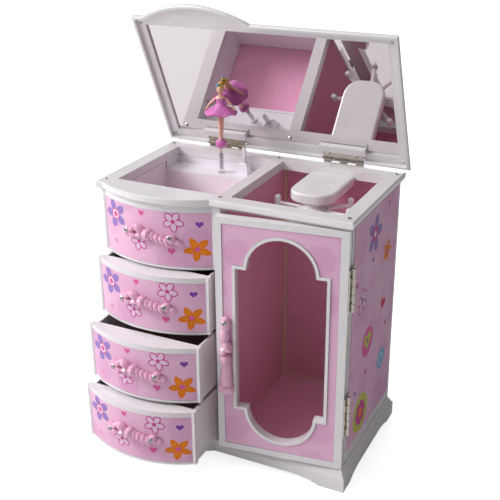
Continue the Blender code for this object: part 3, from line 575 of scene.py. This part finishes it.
def side_sheet(node, sign):
    """Larger flowers, hearts and badges down a side, measured from the sheet's low front corner."""
    lo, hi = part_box(node)
    outer = hi.x if sign > 0 else lo.x

    def place(u, v, lift):
        return Vector((outer + sign * lift * MM, lo.y + u * MM, lo.z + v * MM))

    sheet = Sheet("case", place)
    lavender_flower(sheet, 42.5, 160.5, 15.0, 1.3)
    sheet.draw(star(42.5, 160.5, 5.2, 12, 0.2), "magenta", 4)
    sheet.draw(disc(42.5, 160.5, 2.4), "white", 5)
    orange_flower(sheet, 74.0, 135.5, 10.0, 1.2)
    outlined_flower(sheet, 20.5, 117.0, 10.5, 1.7)
    sheet.draw(heart(70.0, 93.0, 11.0, -0.35), "red")
    sheet.draw(disc(36.5, 76.0, 12.0, 32), "rose")
    sheet.draw(heart(36.5, 77.0, 15.0), "lime", 2)
    sheet.draw(heart(36.5, 77.0, 5.0), "magenta", 3)
    sheet.draw(star(72.0, 43.0, 9.6, 8, 0.22), "blue")
    sheet.draw(disc(72.0, 43.0, 5.2), "white", 2)
    sheet.draw(disc(72.0, 43.0, 4.0), "blue", 3)
    sheet.draw(disc(27.0, 19.0, 16.0, 36), "lime")
    sheet.draw(star(27.0, 19.0, 11.0, 8, 0.25), "magenta", 2)
    sheet.draw(disc(27.0, 19.0, 4.0), "orange", 3)
    for u, v, size, colour in SIDE_HEARTS:
        sheet.draw(heart(u, v, size), colour)
    sheet.build(node + "_flowers")


for owner in FRONTS:
    front_sheet(owner)
side_sheet("side_print_right", 1)
side_sheet("side_print_left", -1)


# ---------------------------------------------------------------- screws
# The dark cross on a screw head is painted shade that stands in for the shadow in its recess.
CROSS = 1                           # the dark cross's place in a screw's list of materials
CROSS_HEIGHT, CROSS_DEPTH = 0.68, 0.06
CROSS_LENGTH, CROSS_WIDTH = 0.55, 0.13      # half sizes of one stroke, as parts of the head's radius


def turned(bm, centre, normal, profile, count=14):
    """Turn a (radius, height) profile in millimetres round the normal; the last ring is closed."""
    side = normal.orthogonal().normalized()
    other = normal.cross(side)
    rows = []
    for r, h in profile:
        spokes = [(side * math.cos(a) + other * math.sin(a)) * r for a in around(count)]
        rows.append([bm.verts.new(centre + (normal * h + spoke) * MM) for spoke in spokes])
    for low, high in zip(rows, rows[1:]):
        for i in range(count):
            j = (i + 1) % count
            bm.faces.new((low[i], low[j], high[j], high[i]))
    bm.faces.new(rows[-1])


def stroke(bm, centre, along, across, up, r):
    """One stroke of a cross: a low bar on a head of radius r, near black with painted shade for the shadow
    in the cross recess.
    """
    rows = []
    for height in (-CROSS_DEPTH, CROSS_DEPTH):
        corners = []
        for a, b in ((-1, -1), (1, -1), (1, 1), (-1, 1)):
            step = along * a * r * CROSS_LENGTH + across * b * r * CROSS_WIDTH + up * height
            corners.append(bm.verts.new(centre + step * MM))
        rows.append(corners)
    low, high = rows
    for i in range(4):
        j = (i + 1) % 4
        bm.faces.new((low[i], low[j], high[j], high[i])).material_index = CROSS
    bm.faces.new(high).material_index = CROSS


def screws(name, body, head, places, r):
    """Pan head screws of radius r with a cross of painted shade for the shaded recess; places holds (centre,
    normal) for each.
    """
    bm = bmesh.new()
    for centre, normal in places:
        normal = normal.normalized()
        turned(bm, centre, normal, ((r, -0.3), (r, 0.25), (r * 0.8, 0.55), (r * 0.4, 0.7)))
        side = normal.orthogonal().normalized()
        other = normal.cross(side)
        first, second = (side + other).normalized(), (side - other).normalized()
        middle = centre + normal * CROSS_HEIGHT * MM
        stroke(bm, middle, first, second, normal, r)
        stroke(bm, middle, second, first, normal, r)
    finish_piece(name, bm, [head, PAINTED_RECESS_SHADE], body)


BEZEL_UNDERSIDE, LEAF_UNDERSIDE = 219.6, 217.8     # heights with the lid shut, millimetres
LID_HINGES, DOOR_HINGES = (-50.5, 51.0), (62.5, 164.0)
PULL_DROP = 18.0 * MM                               # from the print's top edge to the pull's screws
PULL_SCREWS = ((-68.0, 0.6), (-32.0, -0.2))         # x of each screw, and its rise over that line
PULL_FACE = 5.0                                     # from the front to the pull's face, millimetres
PULL_LEAN = math.sin(math.radians(18)) / 18         # how a screw leans for each millimetre from the middle
PULL_TIP = 0.12


def rim_screws():
    points = [case_point(x, y, RIM_CORNER.z / MM) for x in (-96.6, -0.7, 96.2) for y in (-50.6, 50.0)]
    screws("rim_screws", "case", NICKEL, [(point, UP) for point in points], r=1.5)


def lid_screws():
    down = LID_TURN @ -UP
    points = [lid_point(x, y, BEZEL_UNDERSIDE) for x in (-99.0, 99.0) for y in (-53.2, 54.0)]
    screws("bezel_screws", "lid", STEEL, [(point, down) for point in points], r=1.1)
    points = [lid_point(x + side, 53.6, LEAF_UNDERSIDE) for x in LID_HINGES for side in (-11.5, 11.5)]
    screws("lid_leaf_screws", "lid", NICKEL, [(point, down) for point in points], r=1.2)


def pull_screws(owner, body):
    """Two screws in a front's pull; a drawer's are as far forward as it is pulled out."""
    lo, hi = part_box(owner + "_print")
    slid = Vector((0, lo.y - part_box("fixed_front_print")[0].y, 0))
    places = []
    for x, rise in PULL_SCREWS:
        normal = Vector((PULL_LEAN * (x - BOW_MIDDLE), -1, PULL_TIP))
        places.append((front_point(x, hi.z - PULL_DROP + rise * MM, PULL_FACE) + slid, normal))
    screws(owner + "_pull_screws", body, DARK_STEEL, places, r=1.9)


def door_screws():
    pull_place = door_point(9.9, -61.0, 128.5)
    screws("door_pull_screws", "door", DARK_STEEL, [(pull_place, DOOR_TURN @ FORWARD)], r=2.0)
    heights = [z + step for z in DOOR_HINGES for step in (-10, 10)]
    on_door = [(door_point(99.4, -54.1, z), DOOR_TURN @ RIGHT) for z in heights]
    screws("door_leaf_screws", "door", NICKEL, on_door, r=1.0)
    on_case = [(case_point(99.5, -46.8, z), RIGHT) for z in heights]
    screws("case_leaf_screws", "case", NICKEL, on_case, r=1.0)


rim_screws()
lid_screws()
for owner, body in FRONTS.items():
    pull_screws(owner, body)
door_screws()


# ---------------------------------------------------------------- card edges and ribbon
CARD_STRIPS = (
    ((4.8, 50.4, 19.4), (6.6, 51.8, 207.6)),
    ((92.9, 50.6, 19.4), (94.3, 51.8, 207.6)),
    ((6.8, 50.8, 19.3), (92.7, 51.8, 20.6)),
)
RIBBON_FRONT = -1.5
RIBBON_LOOPS = ((-2.5, 49.7, 0.8), (-1.7, 50.7, 0.9), (-0.7, 51.2, 0.7))   # x, height above the feet, radius


def strip(bm, lo, hi):
    """Box between two corners, given in millimetres from the middle of the case."""
    corners = [(x, y, z) for x in (lo[0], hi[0]) for y in (lo[1], hi[1]) for z in (lo[2], hi[2])]
    v = [bm.verts.new(case_point(*corner)) for corner in corners]
    for face in ((0, 1, 3, 2), (4, 6, 7, 5), (0, 4, 5, 1), (2, 3, 7, 6), (0, 2, 6, 4), (1, 5, 7, 3)):
        bm.faces.new([v[i] for i in face])


def cabin_seams():
    """Raw card edges where the cabin's lining meets in its corners."""
    bm = bmesh.new()
    for lo, hi in CARD_STRIPS:
        strip(bm, lo, hi)
    finish_piece("cabin_card_edges", bm, [CARD_EDGE], "case")


def hair_ribbon():
    """Small blue ribbon at the side of the dancer's hair."""
    bm = bmesh.new()
    base = Vector((SPIN.x, SPIN.y, FEET))
    for x, height, r in RIBBON_LOOPS:
        centre = base + DANCER_TURN @ Vector((x, RIBBON_FRONT, height)) * MM
        turned(bm, centre, DANCER_TURN @ FORWARD, ((r, -0.4), (r, 0.4), (r * 0.5, 0.8)), 10)
    finish_piece("hair_ribbon", bm, [INKS["blue"]], "dancer")


cabin_seams()
hair_ribbon()

# ---------------------------------------------------------------- floor and lights
FLOOR_HALF = 6.0        # metres
FLOOR_DROP = 0.2 * MM
FLOOR_GLOW, AMBIENT = 0.78, 0.18


def when_seen(nt, seen, unseen):
    """Value that is seen on camera rays and unseen on all others."""
    return spread(nt, add(nt, "ShaderNodeLightPath").outputs["Is Camera Ray"], unseen, seen)


def make_floor():
    """Pale floor that shows as white to the camera and throws no light of its own on the object."""
    corners = [(x * FLOOR_HALF, y * FLOOR_HALF, 0) for x, y in ((-1, -1), (1, -1), (1, 1), (-1, 1))]
    mesh = bpy.data.meshes.new("floor")
    mesh.from_pydata(corners, [], [(0, 1, 2, 3)])
    floor = bpy.data.objects.new("floor", mesh)
    floor.location.z = -FLOOR_DROP
    bpy.context.scene.collection.objects.link(floor)
    mat, nt, bsdf = tree("floor")
    settle(bsdf, Base_Color=(0.90, 0.90, 0.90, 1), Roughness=0.8, Emission_Color=(1, 1, 1, 1))
    nt.links.new(when_seen(nt, FLOOR_GLOW, 0.0), bsdf.inputs["Emission Strength"])
    mesh.materials.append(mat)


def make_world():
    """White behind the object for the camera, and a weak even light for everything else."""
    world = bpy.data.worlds.new("studio")
    bpy.context.scene.world = world
    world.use_nodes = True
    nt = world.node_tree
    background = nt.nodes["Background"]
    background.inputs["Color"].default_value = (1.0, 0.985, 0.98, 1)
    nt.links.new(when_seen(nt, 1.0, AMBIENT), background.inputs["Strength"])
    bpy.context.scene.view_settings.view_transform = "Standard"


def area_light(name, place, size, power, aim):
    light = bpy.data.lights.new(name, "AREA")
    light.size = size
    light.energy = power
    ob = bpy.data.objects.new(name, light)
    ob.location = place
    ob.rotation_mode = "QUATERNION"
    ob.rotation_quaternion = (Vector(place) - Vector(aim)).to_track_quat("Z", "Y")
    bpy.context.scene.collection.objects.link(ob)


make_floor()
make_world()
area_light("key", place=(-1.50, -0.72, 1.25), size=0.7, power=30, aim=(0, 0, 0.15))
area_light("near", place=(-0.34, -0.46, 0.60), size=0.3, power=1.1, aim=(0, 0, 0.22))
area_light("top", place=(-0.1, -0.2, 1.3), size=0.6, power=2.4, aim=(0, 0, 0.1))
area_light("back", place=(-0.5, 1.5, 0.9), size=0.8, power=6, aim=(0, 0, 0.15))
